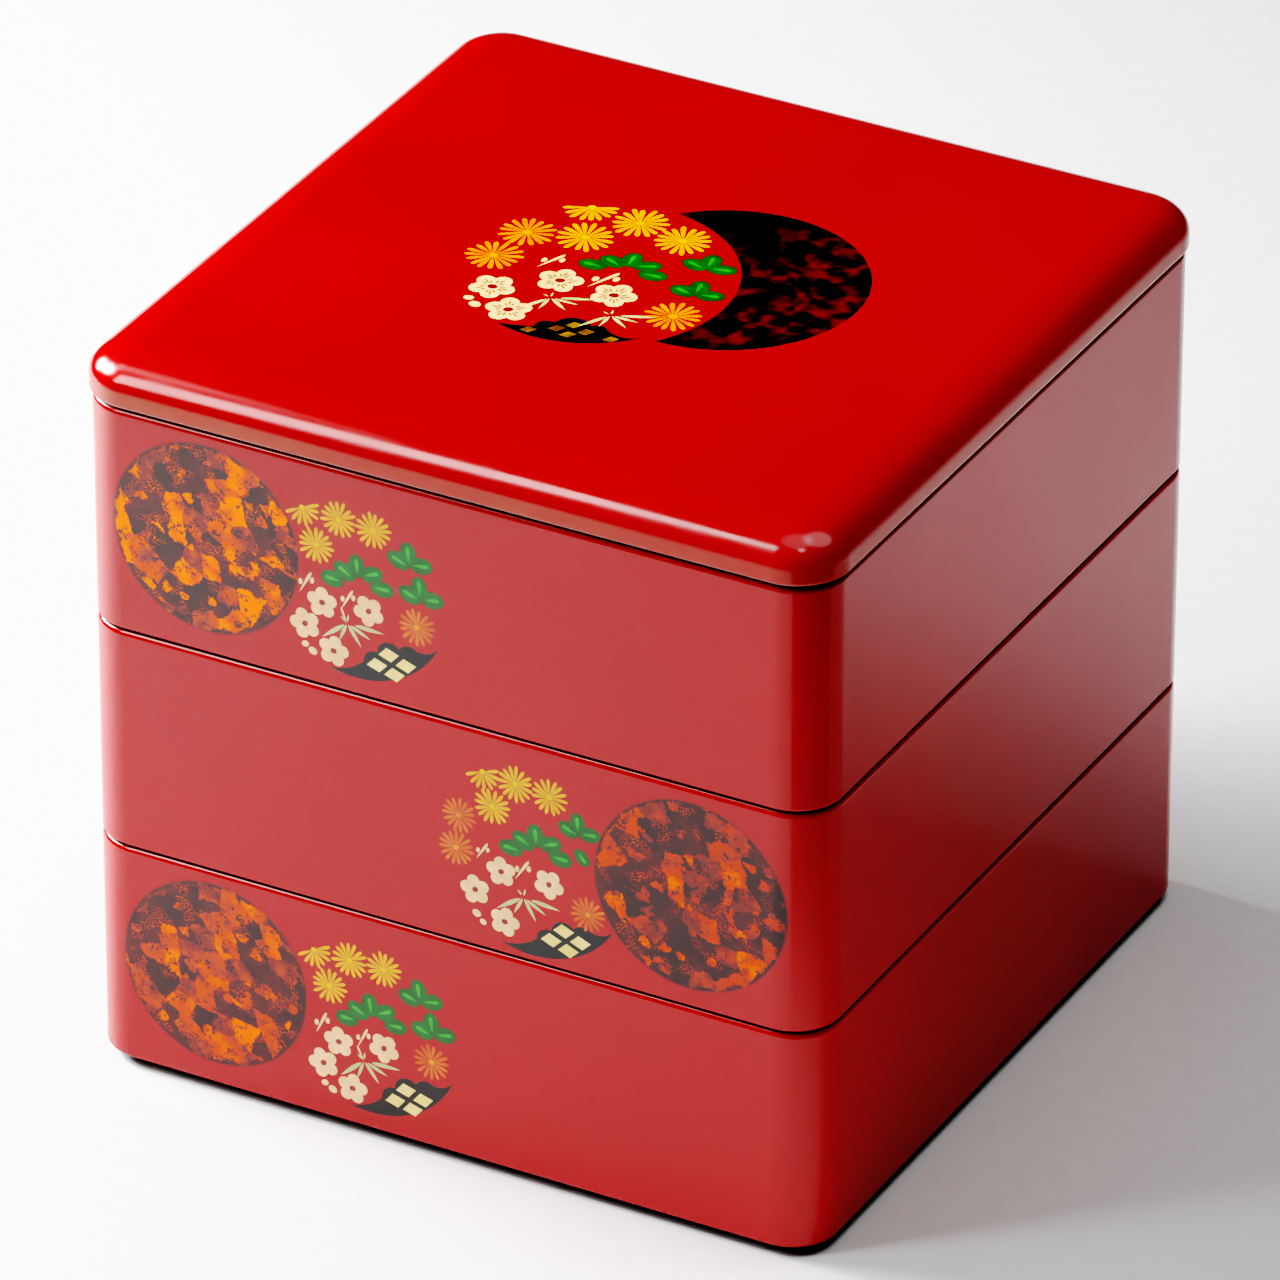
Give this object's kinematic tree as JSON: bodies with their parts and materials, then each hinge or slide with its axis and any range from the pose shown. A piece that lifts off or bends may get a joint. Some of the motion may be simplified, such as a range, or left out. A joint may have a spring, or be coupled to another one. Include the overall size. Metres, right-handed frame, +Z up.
{
  "type": "tiered food box",
  "caption": "Square lacquered food box: stacked open tiers that nest on shallow feet, under a lift-off lid with a soft rounded shoulder.",
  "frame": {"origin": "centre of the square footprint, on the surface that the bottom tier's foot stands on", "axes": "+Z up through the stack; -Y towards the decorated front face; +X to its right"},
  "size_m": [0.197, 0.197, 0.1914],
  "materials": {
    "vermilion_lacquer": "gloss vermilion lacquer over a wooden core, with flush painted and gilt ornament"
  },
  "bodies": {
    "root": {"bottom_tier": "vermilion_lacquer", "middle_tier": "vermilion_lacquer", "top_tier": "vermilion_lacquer", "lid": "vermilion_lacquer"}
  },
  "joints": []
}
